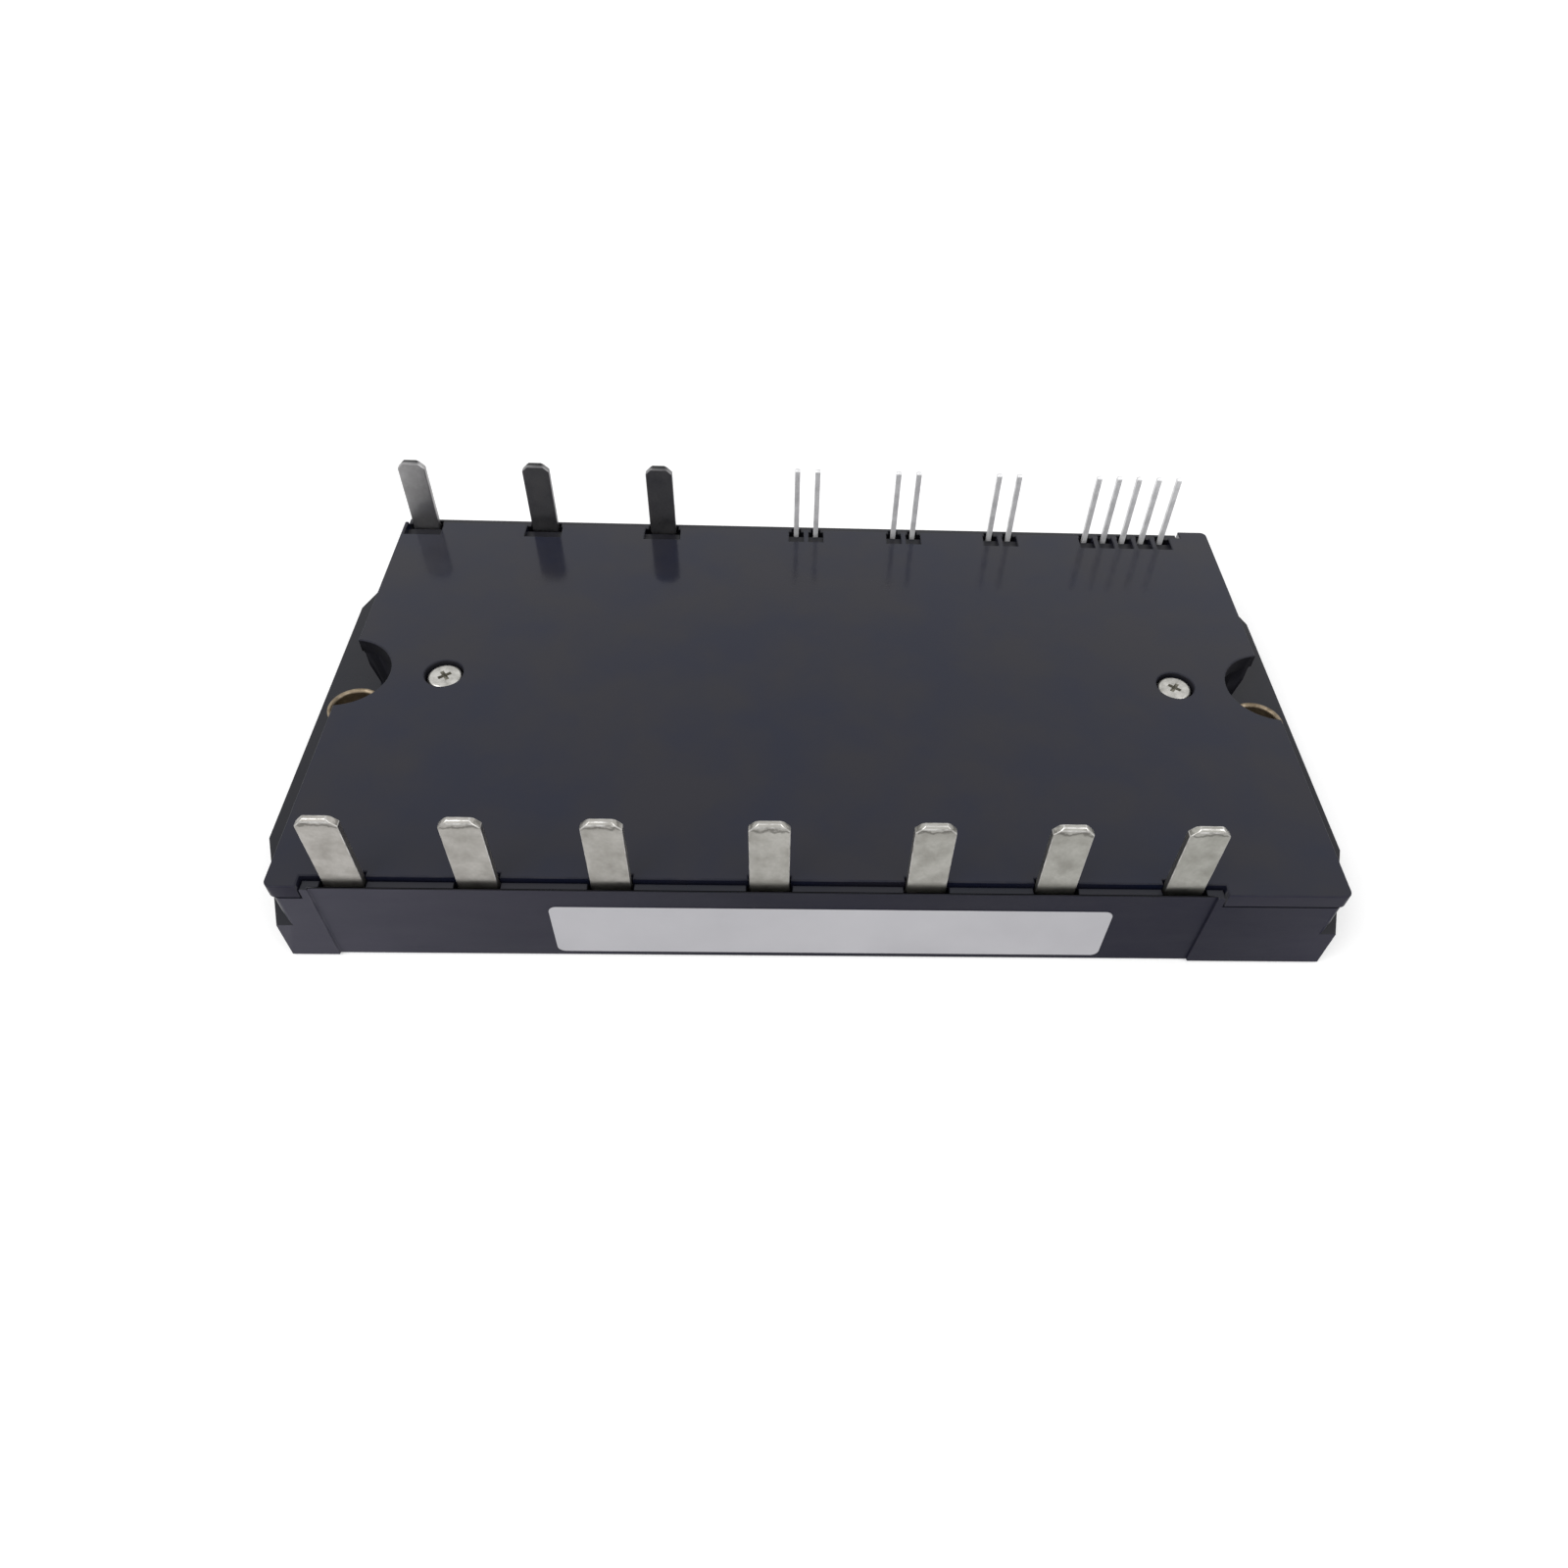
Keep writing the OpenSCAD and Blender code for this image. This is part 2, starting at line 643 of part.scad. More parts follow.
module chip_wires() color("#d2d4d8") {
    minus_x = 3.4;                        // bond on a minus track beside its column
    gate = [-0.4*igbt_s, 0.32*igbt_s];    // gate pad from the middle of a chip
    off = 0.3;                            // bonds off the middle of a chip, in chip sizes
    for (i = [0:2]) {
        x = phase_place(i);
        switch_wires(x, high_igbt_y, high_diode_y);
        switch_wires(x, low_igbt_y, low_diode_y);
        bond_wire([x, high_diode_y - off*diode_s, chip_top],
                  [x, landing_y, chip_solder_z], wire_d, power_rise);
        bond_wire([x + off*diode_s/2, low_diode_y - off*diode_s, chip_top],
                  [x + minus_x, split_y - track_gap - strip_bond, chip_solder_z],
                  wire_d, power_rise);
        bond_wire([x + gate.x, high_igbt_y + gate.y, chip_top],
                  [landing_place(2*i), signal_y + edge_bond, chip_solder_z],
                  signal_wire_d, signal_rise);
    }
    for (i = [0:2]) {
        x = rect_place(i);
        step = 0.25*rectifier_s;
        bond_wire([x - step, rect_high_y + step, chip_top],
                  [x - step, input_y + strip_bond, chip_solder_z], wire_d, power_rise);
        bond_wire([x + off*rectifier_s, rect_low_y - step, chip_top],
                  [x + off*rectifier_s, plus_y - track_gap - strip_bond, chip_solder_z],
                  wire_d, long_rise);
    }
    bond_wire([brake_x, high_diode_y - off*diode_s, chip_top],
              [brake_x, landing_y, chip_solder_z], wire_d, power_rise);
}

module silicone_gel() color("#d9dde0") difference() {
    union() {
        translate([0, 0, plate_t]) linear_extrude(shelf_h - plate_t) cavity_outline(cav_low_y);
        translate([0, 0, shelf_h]) linear_extrude(gel_z - shelf_h) cavity_outline(cav_y);
    }
    substrate_solder();
    substrate_lower_copper();
    substrate_ceramic();
    substrate_tracks();
    chip_solder();
    for (i = [1:7]) {
        igbt_chip(i);
        freewheel_diode(i);
    }
    for (i = [1:6]) rectifier_diode(i);
    for (i = [0:6]) front_terminal(i);
    for (i = [0:2]) back_terminal(i);
    for (i = [0:10]) pin_terminal(i);
    terminal_wires();
    chip_wires();
}

case();
lid();
lid_screw(-1);  // lid_screw_left
lid_screw(1);  // lid_screw_right
mounting_bush(-1);  // mounting_bush_left
mounting_bush(1);  // mounting_bush_right
for (i = [1:7]) front_blade(i);
for (i = [1:3]) back_blade(i);
for (i = [1:11]) signal_pin(i);
label();
base_plate();
base_adhesive();
substrate_solder();
substrate_lower_copper();
substrate_ceramic();
substrate_tracks();
for (i = [1:7]) igbt_chip(i);
for (i = [1:7]) freewheel_diode(i);
for (i = [1:6]) rectifier_diode(i);
chip_solder();
terminal_wires();
chip_wires();
silicone_gel();
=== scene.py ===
# Looks of a power semiconductor module: rounded edges, lid screws, finishes and a pale studio
import json
import math

import bpy
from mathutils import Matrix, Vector


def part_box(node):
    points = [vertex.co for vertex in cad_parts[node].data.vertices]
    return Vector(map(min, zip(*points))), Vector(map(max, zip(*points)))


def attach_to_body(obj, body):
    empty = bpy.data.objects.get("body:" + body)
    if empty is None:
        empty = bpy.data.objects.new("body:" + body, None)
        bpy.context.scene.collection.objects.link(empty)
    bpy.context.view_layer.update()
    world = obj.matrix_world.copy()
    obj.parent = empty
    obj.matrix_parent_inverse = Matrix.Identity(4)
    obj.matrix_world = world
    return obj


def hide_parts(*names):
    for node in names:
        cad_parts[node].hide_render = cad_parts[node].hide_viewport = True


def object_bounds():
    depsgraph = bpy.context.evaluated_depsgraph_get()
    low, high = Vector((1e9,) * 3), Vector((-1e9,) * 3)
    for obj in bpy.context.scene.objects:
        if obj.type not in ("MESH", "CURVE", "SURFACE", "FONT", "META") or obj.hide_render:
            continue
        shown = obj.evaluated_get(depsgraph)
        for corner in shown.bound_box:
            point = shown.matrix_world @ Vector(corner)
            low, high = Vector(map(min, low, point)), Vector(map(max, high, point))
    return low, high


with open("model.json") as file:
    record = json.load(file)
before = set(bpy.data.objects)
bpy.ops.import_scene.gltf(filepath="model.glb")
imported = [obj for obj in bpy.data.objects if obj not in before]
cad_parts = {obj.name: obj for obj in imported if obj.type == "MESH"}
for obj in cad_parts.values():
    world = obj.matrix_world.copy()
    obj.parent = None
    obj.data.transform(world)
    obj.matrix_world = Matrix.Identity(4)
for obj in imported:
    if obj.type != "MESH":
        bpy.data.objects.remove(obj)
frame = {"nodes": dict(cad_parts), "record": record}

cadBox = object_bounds()
mm = 0.001
print("frame loaded:", len(frame["nodes"]), "nodes")


# Selecting, applying and attaching
def clearSelection():
    bpy.ops.object.select_all(action="DESELECT")


def pick(piece):
    clearSelection()
    piece.select_set(True)
    bpy.context.view_layer.objects.active = piece


def applyModifier(piece, modifier):
    pick(piece)
    bpy.ops.object.modifier_apply(modifier=modifier.name)


def shadeAndSettle(piece, degrees):  # smooth over the roundings, flat faces kept flat
    pick(piece)
    bpy.ops.object.shade_smooth_by_angle(angle=math.radians(degrees))
    weighted = piece.modifiers.new("flatFaces", "WEIGHTED_NORMAL")
    weighted.keep_sharp = True
    applyModifier(piece, weighted)


def placeInMesh(piece):  # the object ends at the origin, its place in its mesh
    pick(piece)
    bpy.ops.object.transform_apply(location=True, rotation=True, scale=True)


def attach(piece, nodes):
    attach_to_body(piece, "root")
    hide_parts(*nodes)
    return piece


# Building blocks of the materials
def newMaterial(name):
    material = bpy.data.materials.new(name)
    material.use_nodes = True
    return material


def nodeOf(material, kind, **settings):
    node = material.node_tree.nodes.new(kind)
    for key, value in settings.items():
        setattr(node, key, value)
    return node


def shaderOf(material):
    return material.node_tree.nodes["Principled BSDF"]


def wire(material, outSocket, inSocket):
    material.node_tree.links.new(outSocket, inSocket)


def objectPattern(material, stretch=(1, 1, 1), turn=(0, 0, 0)):  # Object coordinates, stretched and turned
    place = nodeOf(material, "ShaderNodeTexCoord")
    mapping = nodeOf(material, "ShaderNodeMapping")
    mapping.inputs["Rotation"].default_value = [math.radians(angle) for angle in turn]
    mapping.inputs["Scale"].default_value = stretch
    wire(material, place.outputs["Object"], mapping.inputs["Vector"])
    return mapping.outputs["Vector"]


def noise(material, vector, grain, detail=3, rough=0.5):  # grain is the pattern's size in millimetres
    texture = nodeOf(material, "ShaderNodeTexNoise")
    texture.inputs["Scale"].default_value = 1/(grain*mm)
    texture.inputs["Detail"].default_value = detail
    texture.inputs["Roughness"].default_value = rough
    wire(material, vector, texture.inputs["Vector"])
    return texture.outputs["Fac"]


def ramp(material, factor, stops):
    node = nodeOf(material, "ShaderNodeValToRGB")
    elements = node.color_ramp.elements
    while len(elements) < len(stops):
        elements.new(0.5)
    for element, (place, colour) in zip(elements, stops):
        element.position = place
        element.color = (*colour, 1)
    wire(material, factor, node.inputs["Fac"])
    return node.outputs["Color"]


def stretchRange(material, factor, fromLow, fromHigh, low, high):
    node = nodeOf(material, "ShaderNodeMapRange")
    node.inputs["From Min"].default_value = fromLow
    node.inputs["From Max"].default_value = fromHigh
    node.inputs["To Min"].default_value = low
    node.inputs["To Max"].default_value = high
    wire(material, factor, node.inputs["Value"])
    return node.outputs["Result"]


def levels(material, factor, low, high):  # stretches a noise pattern to low..high
    return stretchRange(material, factor, 0.3, 0.7, low, high)


def calculate(material, operation, first, second):
    node = nodeOf(material, "ShaderNodeMath", operation=operation)
    for socket, value in zip(node.inputs, (first, second)):
        if isinstance(value, (int, float)):
            socket.default_value = value
        else:
            wire(material, value, socket)
    return node.outputs[0]


def bump(material, height, depth, strength, under=None):
    node = nodeOf(material, "ShaderNodeBump")
    node.inputs["Distance"].default_value = depth*mm
    node.inputs["Strength"].default_value = strength
    wire(material, height, node.inputs["Height"])
    if under:
        wire(material, under, node.inputs["Normal"])
    return node.outputs["Normal"]


def mixColours(material, factor, first, second, blend="MIX"):
    node = nodeOf(material, "ShaderNodeMix", data_type="RGBA", blend_type=blend)
    if isinstance(factor, (int, float)):
        node.inputs["Factor"].default_value = factor
    else:
        wire(material, factor, node.inputs["Factor"])
    for socket, colour in (("A", first), ("B", second)):
        target = [s for s in node.inputs if s.name == socket and s.type == "RGBA"][0]
        if isinstance(colour, tuple):
            target.default_value = (*colour, 1)
        else:
            wire(material, colour, target)
    return [s for s in node.outputs if s.type == "RGBA"][0]


def placeAlong(material, axis):  # place in the frame along an axis, in metres
    place = nodeOf(material, "ShaderNodeTexCoord")
    parts = nodeOf(material, "ShaderNodeSeparateXYZ")
    wire(material, place.outputs["Object"], parts.inputs["Vector"])
    return parts.outputs[axis]


def paintLightAlong(material, colour, stops):  # painted light and shade: the colour is multiplied by a ramp from the left end to the right one
    leftEnd, rightEnd = cadBox[0][0], cadBox[1][0]
    share = stretchRange(material, placeAlong(material, "X"), leftEnd, rightEnd, 0, 1)
    return mixColours(material, 1.0, colour, ramp(material, share, stops), "MULTIPLY")


# Kinds of finish, each of which takes one dictionary of looks
wipeForm = {"stretch": (0.25, 1, 1), "turn": (0, 0, 32)}  # smears from handling run aslant


def mouldedPlastic(name, look):
    material = newMaterial(name)
    shader = shaderOf(material)
    vector = objectPattern(material)
    clouds = noise(material, vector, look["cloudSize"], 4, 0.55)
    grain = noise(material, vector, look["grainSize"], 2, 0.6)
    wipePattern = objectPattern(material, wipeForm["stretch"], wipeForm["turn"])
    wipes = noise(material, wipePattern, look["wipeSize"], 3, 0.6)
    shader.inputs["IOR"].default_value = 1.5
    shader.inputs["Specular IOR Level"].default_value = look["shine"]
    colour = ramp(material, clouds, [(0.36, look["dark"]), (0.62, look["light"])])
    if "toneAlong" in look:  # painted light: the plastic is paler towards its ends, most at the left, and shaded in the middle
        colour = paintLightAlong(material, colour, look["toneAlong"])
    wire(material, colour, shader.inputs["Base Color"])
    gloss = levels(material, clouds, look["gloss"][0], look["gloss"][1])
    smears = levels(material, wipes, -look["wipeGloss"], look["wipeGloss"])
    wire(material, calculate(material, "ADD", gloss, smears), shader.inputs["Roughness"])
    waves = bump(material, clouds, look["waveDepth"], 0.3)
    wire(material, bump(material, grain, look["grainDepth"], 0.5, waves), shader.inputs["Normal"])
    return material


def stainShare(material, stain):  # thin uneven stain across the blades below their tips
    height = placeAlong(material, "Z")
    uneven = noise(material, objectPattern(material), stain["waveSize"], 3, 0.6)
    shift = levels(material, uneven, -stain["wave"]*mm, stain["wave"]*mm)
    shifted = calculate(material, "ADD", height, shift)
    away = calculate(material, "SUBTRACT", shifted, stain["height"]*mm)
    distance = calculate(material, "ABSOLUTE", away, 0)
    return stretchRange(material, distance, stain["core"]*mm, stain["reach"]*mm, stain["strength"], 0)


def metal(name, look):
    material = newMaterial(name)
    shader = shaderOf(material)
    vector = objectPattern(material, look.get("stretch", (1, 1, 1)))
    blotches = noise(material, objectPattern(material), look["blotchSize"], 4, 0.6)
    scratches = noise(material, vector, look["scratchSize"], 3, 0.6)
    shader.inputs["Metallic"].default_value = look["metallic"]
    colour = ramp(material, blotches, [(0.32, look["dark"]), (0.62, look["light"])])
    if "speckle" in look:  # fine mottle of dull tin
        fine = noise(material, objectPattern(material), look["speckle"], 2, 0.5)
        colour = mixColours(material, levels(material, fine, 0, 0.3), colour, look["dark"])
    if "tipTone" in look:  # the sheared tips have gone dark
        low, high = (height*mm for height in look["tipReach"])
        nearTip = stretchRange(material, placeAlong(material, "Z"), low, high, 0, 1)
        colour = mixColours(material, nearTip, colour, look["tipTone"])
    # painted light: the blades are paler towards the left end
    if "toneAlong" in look:
        colour = paintLightAlong(material, colour, look["toneAlong"])
    if "stain" in look:
        colour = mixColours(material, stainShare(material, look["stain"]), colour, look["stain"]["tone"])
    wire(material, colour, shader.inputs["Base Color"])
    gloss = levels(material, blotches, look["gloss"][1], look["gloss"][0])
    wire(material, gloss, shader.inputs["Roughness"])
    wire(material, bump(material, scratches, look["scratchDepth"], 0.4), shader.inputs["Normal"])
    return material


def softFill(name, look):  # solder, adhesive, gel and the like: grainy, with a slow change of tone
    material = newMaterial(name)
    shader = shaderOf(material)
    vector = objectPattern(material)
    clouds = noise(material, vector, look["cloudSize"], 3, 0.5)
    colour = ramp(material, clouds, [(0.3, look["dark"]), (0.7, look["light"])])
    wire(material, colour, shader.inputs["Base Color"])
    shader.inputs["Metallic"].default_value = look.get("metallic", 0)
    wire(material, levels(material, clouds, look["gloss"][0], look["gloss"][1]), shader.inputs["Roughness"])
    wire(material, bump(material, noise(material, vector, look["grainSize"]), look["grainDepth"], 0.4),
         shader.inputs["Normal"])
    return material


# Painted light and shade along the module, from the left end (0) to the right one (1): paler at the ends,
# most at the left
paintedLightStops = [(0.04, (1.0, 1.0, 1.0)), (0.11, (0.86, 0.86, 0.9)), (0.27, (0.48, 0.48, 0.56)),
              (0.46, (0.14, 0.14, 0.26)), (0.86, (0.13, 0.13, 0.28)), (0.97, (0.36, 0.36, 0.5))]
casePlastic = mouldedPlastic("casePlastic", {
    "dark": (0.036, 0.035, 0.052), "light": (0.046, 0.044, 0.062), "gloss": (0.44, 0.56), "shine": 0.22,
    "toneAlong": paintedLightStops,
    "cloudSize": 9, "grainSize": 0.35, "wipeSize": 3, "wipeGloss": 0.05, "waveDepth": 0.05,
    "grainDepth": 0.012})
# Lighter, glossier plastic on the case's rounded edges: partly edge wear, partly painted highlight
caseEdge = mouldedPlastic("caseEdge", {
    "dark": (0.042, 0.041, 0.058), "light": (0.060, 0.058, 0.076), "gloss": (0.36, 0.48), "shine": 0.24,
    "toneAlong": paintedLightStops, "cloudSize": 2.5, "grainSize": 0.3, "wipeSize": 1, "wipeGloss": 0.04,
    "waveDepth": 0.02, "grainDepth": 0.01})
# Darker copy of the case plastic on its upward faces and end walls, the front wall keeping the paler one:
# painted shade
earPlastic = mouldedPlastic("earPlastic", {
    "dark": (0.009, 0.010, 0.016), "light": (0.014, 0.014, 0.019), "gloss": (0.26, 0.36), "shine": 0.26,
    "cloudSize": 9, "grainSize": 0.35, "wipeSize": 2.5, "wipeGloss": 0.04, "waveDepth": 0.05,
    "grainDepth": 0.012})
# Darker plastic in the dishes before the back terminals and in the lid screws' bores: painted shade
pocketPlastic = mouldedPlastic("pocketPlastic", {
    "dark": (0.008, 0.008, 0.012), "light": (0.013, 0.013, 0.017), "gloss": (0.36, 0.46), "shine": 0.16,
    "cloudSize": 2, "grainSize": 0.3, "wipeSize": 1, "wipeGloss": 0.04, "waveDepth": 0.03,
    "grainDepth": 0.012})
skirtPlastic = mouldedPlastic("skirtPlastic", {
    "dark": (0.010, 0.010, 0.022), "light": (0.016, 0.015, 0.028), "gloss": (0.36, 0.46), "shine": 0.2,
    "cloudSize": 6, "grainSize": 0.3, "wipeSize": 2, "wipeGloss": 0.04, "waveDepth": 0.03,
    "grainDepth": 0.01})
shadedPlastic = mouldedPlastic("shadedPlastic", {
    "dark": (0.003, 0.003, 0.005), "light": (0.005, 0.005, 0.008), "gloss": (0.6, 0.7), "shine": 0.08,
    "cloudSize": 3, "grainSize": 0.3, "wipeSize": 1, "wipeGloss": 0.04, "waveDepth": 0.03,
    "grainDepth": 0.015})
lidPlastic = mouldedPlastic("lidPlastic", {
    "dark": (0.0075, 0.0095, 0.0235), "light": (0.0135, 0.0132, 0.0205), "gloss": (0.09, 0.15),
    "shine": 0.31, "cloudSize": 11, "grainSize": 0.3, "wipeSize": 2.5, "wipeGloss": 0.03,
    "waveDepth": 0.05, "grainDepth": 0.008})
# Lighter plastic on the lid's rounded edges: partly edge wear, partly painted highlight
lidEdge = mouldedPlastic("lidEdge", {
    "dark": (0.010, 0.011, 0.020), "light": (0.020, 0.020, 0.028), "gloss": (0.4, 0.5), "shine": 0.16,
    "cloudSize": 2.5, "grainSize": 0.3, "wipeSize": 1, "wipeGloss": 0.04, "waveDepth": 0.02,
    "grainDepth": 0.01})
tinnedCopper = metal("tinnedCopper", {
    "dark": (0.36, 0.35, 0.33), "light": (0.52, 0.51, 0.49), "gloss": (0.28, 0.46), "metallic": 1,
    "blotchSize": 2.2, "speckle": 0.4, "scratchSize": 0.5, "stretch": (1, 1, 0.2), "scratchDepth": 0.01,
    "toneAlong": [(0.1, (1.0, 0.98, 0.96)), (0.5, (0.95, 0.95, 0.92)), (0.85, (0.85, 0.86, 0.82))],
    "stain": {"tone": (0.09, 0.085, 0.075), "height": 19.8, "waveSize": 1.1, "wave": 0.35, "core": 0.05,
              "reach": 0.3, "strength": 0.65}})
tinnedEdge = metal("tinnedEdge", {
    "dark": (0.30, 0.29, 0.27), "light": (0.62, 0.61, 0.59), "gloss": (0.26, 0.42), "metallic": 1,
    "blotchSize": 0.8, "scratchSize": 0.3, "stretch": (1, 1, 0.2), "scratchDepth": 0.006})
# Back blades: a little darker tin than the front ones, and darker again after the first blade by painted
# shade from the ramp along the module
backTin = metal("backTin", {
    "dark": (0.34, 0.335, 0.33), "light": (0.48, 0.475, 0.47), "gloss": (0.28, 0.44), "metallic": 1,
    "toneAlong": [(0.05, (1.05, 1.05, 1.07)), (0.12, (0.9, 0.9, 0.92)), (0.19, (0.62, 0.62, 0.64)),
                  (0.34, (0.58, 0.58, 0.6))],
    "speckle": 0.4, "tipTone": (0.07, 0.07, 0.07), "tipReach": (20.1, 20.4),
    "blotchSize": 2.2, "scratchSize": 0.5, "stretch": (1, 1, 0.2), "scratchDepth": 0.01})
tinnedPin = metal("tinnedPin", {
    "dark": (0.68, 0.68, 0.69), "light": (0.92, 0.92, 0.93), "gloss": (0.3, 0.45), "metallic": 0.35,
    "blotchSize": 1.4, "scratchSize": 0.3, "stretch": (1, 1, 0.2), "scratchDepth": 0.006})
zincSteel = metal("zincSteel", {
    "dark": (0.36, 0.355, 0.33), "light": (0.60, 0.59, 0.56), "gloss": (0.3, 0.45), "metallic": 1,
    "blotchSize": 1.0, "scratchSize": 0.2, "scratchDepth": 0.006})
# Darker steel on the screws' cross recess faces: painted shade
recessSteel = metal("recessSteel", {
    "dark": (0.18, 0.17, 0.14), "light": (0.34, 0.33, 0.28), "gloss": (0.45, 0.6), "metallic": 0.8,
    "blotchSize": 0.8, "scratchSize": 0.2, "scratchDepth": 0.006})
bushBrass = metal("bushBrass", {
    "dark": (0.13, 0.10, 0.065), "light": (0.30, 0.245, 0.175), "gloss": (0.42, 0.58), "metallic": 1,
    "blotchSize": 1.5, "scratchSize": 0.25, "scratchDepth": 0.006})
nickelPlate = metal("nickelPlate", {
    "dark": (0.52, 0.50, 0.47), "light": (0.68, 0.66, 0.62), "gloss": (0.26, 0.38), "metallic": 1,
    "blotchSize": 9, "scratchSize": 0.6, "stretch": (0.1, 1, 1), "scratchDepth": 0.008})
bareCopper = metal("bareCopper", {
    "dark": (0.66, 0.32, 0.20), "light": (0.86, 0.46, 0.30), "gloss": (0.26, 0.4), "metallic": 1,
    "blotchSize": 4, "scratchSize": 0.4, "scratchDepth": 0.006})
aluminiumWire = metal("aluminiumWire", {
    "dark": (0.72, 0.73, 0.75), "light": (0.88, 0.89, 0.90), "gloss": (0.25, 0.35), "metallic": 1,
    "blotchSize": 1, "scratchSize": 0.15, "scratchDepth": 0.004})
labelFilm = softFill("labelFilm", {
    "dark": (0.435, 0.43, 0.455), "light": (0.48, 0.475, 0.50), "gloss": (0.32, 0.42),
    "cloudSize": 8, "grainSize": 0.4, "grainDepth": 0.006})
adhesive = softFill("adhesive", {
    "dark": (0.60, 0.58, 0.52), "light": (0.70, 0.68, 0.61), "gloss": (0.45, 0.6),
    "cloudSize": 5, "grainSize": 0.6, "grainDepth": 0.02})
solder = softFill("solder", {
    "dark": (0.36, 0.37, 0.38), "light": (0.52, 0.53, 0.55), "gloss": (0.3, 0.5), "metallic": 1,
    "cloudSize": 3, "grainSize": 0.3, "grainDepth": 0.01})
ceramic = softFill("ceramic", {
    "dark": (0.78, 0.76, 0.71), "light": (0.86, 0.84, 0.79), "gloss": (0.5, 0.6),
    "cloudSize": 6, "grainSize": 0.1, "grainDepth": 0.004})
silicon = softFill("silicon", {
    "dark": (0.14, 0.16, 0.20), "light": (0.20, 0.22, 0.27), "gloss": (0.15, 0.25),
    "cloudSize": 2, "grainSize": 0.2, "grainDepth": 0.003})
gel = softFill("gel", {
    "dark": (0.66, 0.69, 0.70), "light": (0.74, 0.77, 0.78), "gloss": (0.08, 0.16),
    "cloudSize": 12, "grainSize": 3, "grainDepth": 0.05})

finishBySlot = {
    "case_plastic": casePlastic, "lid_plastic": lidPlastic, "zinc_steel": zincSteel,
    "bush_brass": bushBrass, "tinned_copper": tinnedCopper, "tinned_pin": tinnedPin,
    "label_film": labelFilm, "nickel_plate": nickelPlate, "adhesive": adhesive, "solder": solder,
    "bare_copper": bareCopper, "ceramic": ceramic, "silicon": silicon,
    "aluminium_wire": aluminiumWire, "gel": gel}
edgeFinish = {"case_plastic": caseEdge, "lid_plastic": lidEdge, "tinned_copper": tinnedEdge}
slotOfNode = {part["node"]: part["material_slot"] for part in frame["record"]["subparts"]}
for nodeName, node in frame["nodes"].items():
    node.data.materials.clear()
    node.data.materials.append(finishBySlot[slotOfNode[nodeName]])
print("finishes:", len(finishBySlot))


# Moulded and stamped pieces: copies of the solids with rounded edges
def close(value, target, play=0.01):
    return abs(value - target) < play


def everyEdge(a, b):
    return True


def cleanCopy(nodeName, pieceName):  # the solid's mesh, merged and with its flat faces whole again
    piece = bpy.data.objects.new(pieceName, frame["nodes"][nodeName].data.copy())
    bpy.context.scene.collection.objects.link(piece)
    slotName = slotOfNode[nodeName]
    piece.data.materials.clear()
    piece.data.materials.append(finishBySlot[slotName])
    if slotName in edgeFinish:
        piece.data.materials.append(edgeFinish[slotName])
    pick(piece)
    bpy.ops.object.mode_set(mode="EDIT")
    bpy.ops.mesh.select_mode(type="EDGE")
    bpy.ops.mesh.select_all(action="SELECT")
    bpy.ops.mesh.remove_doubles(threshold=0.001*mm)
    bpy.ops.mesh.dissolve_limited(angle_limit=math.radians(0.3))
    bpy.ops.object.mode_set(mode="OBJECT")
    return piece


def roundEdges(piece, wanted, width, segments=3):  # wanted takes an edge's two ends in millimetres
    pick(piece)
    bpy.ops.object.mode_set(mode="EDIT")
    bpy.ops.mesh.select_mode(type="EDGE")
    bpy.ops.mesh.select_all(action="DESELECT")
    bpy.ops.mesh.edges_select_sharp(sharpness=math.radians(28))
    bpy.ops.object.mode_set(mode="OBJECT")
    mesh = piece.data
    for face in mesh.polygons:
        face.select = False
    for corner in mesh.vertices:
        corner.select = False
    count = 0
    for edge in mesh.edges:
        ends = [mesh.vertices[i].co/mm for i in edge.vertices]
        edge.select = edge.select and wanted(*ends)
        if edge.select:
            count += 1
            for i in edge.vertices:
                mesh.vertices[i].select = True
    bpy.ops.object.mode_set(mode="EDIT")
    bpy.ops.mesh.bevel(offset=width*mm, segments=segments, affect="EDGES", clamp_overlap=True,
                       material=len(mesh.materials) - 1)
    bpy.ops.object.mode_set(mode="OBJECT")
    return count


def finishFaces(piece, material, wanted):  # wanted takes a face's middle in millimetres and its normal
    piece.data.materials.append(material)
    place = len(piece.data.materials) - 1
    for face in piece.data.polygons:
        if wanted(face.center/mm, face.normal):
            face.material_index = place


def roundedPiece(nodeName, pieceName, groups, finishes=(), finish=None):
    piece = cleanCopy(nodeName, pieceName)
    if finish:
        piece.data.materials[0] = finish
    counts = [roundEdges(piece, *group) for group in groups]
    for material, wanted in finishes:
        finishFaces(piece, material, wanted)
    shadeAndSettle(piece, 40)
    print(pieceName, "rounded edges:", counts)
    return attach(piece, [nodeName])


# Places in millimetres that pick edges and faces, and the widths of the roundings
caseForm = {"footReach": 0.2, "footRound": 0.12, "railTop": 11.2, "railRound": 0.12,
            "earTop": 5.3, "earFrom": 53, "earRound": 0.07,
            "recessFace": 29.6, "recessFrom": 44, "recessTo": 51, "recessHeight": 4, "recessRound": 0.12,
            "seamFrom": 27, "seamTo": 29.9, "seamFloor": 9.5, "upperFrom": 5, "endFrom": 51}
lidForm = {"top": 11.7, "topRound": 0.14, "skirtFace": 29, "dishFrom": 26, "dishTop": 11.4,
           "boreX": 41.65, "boreReach": 2.4, "boreTop": 11.5}
notchForm = {"from": 46.5, "halfWidth": 6, "floor": 5.4, "top": 11.5}  # cut through the lid and the case
bladeRound = {"edge": 0.1, "pinEdge": 0.08}
smallRound = {"bush": 0.1, "plate": 0.1, "label": 0.03}


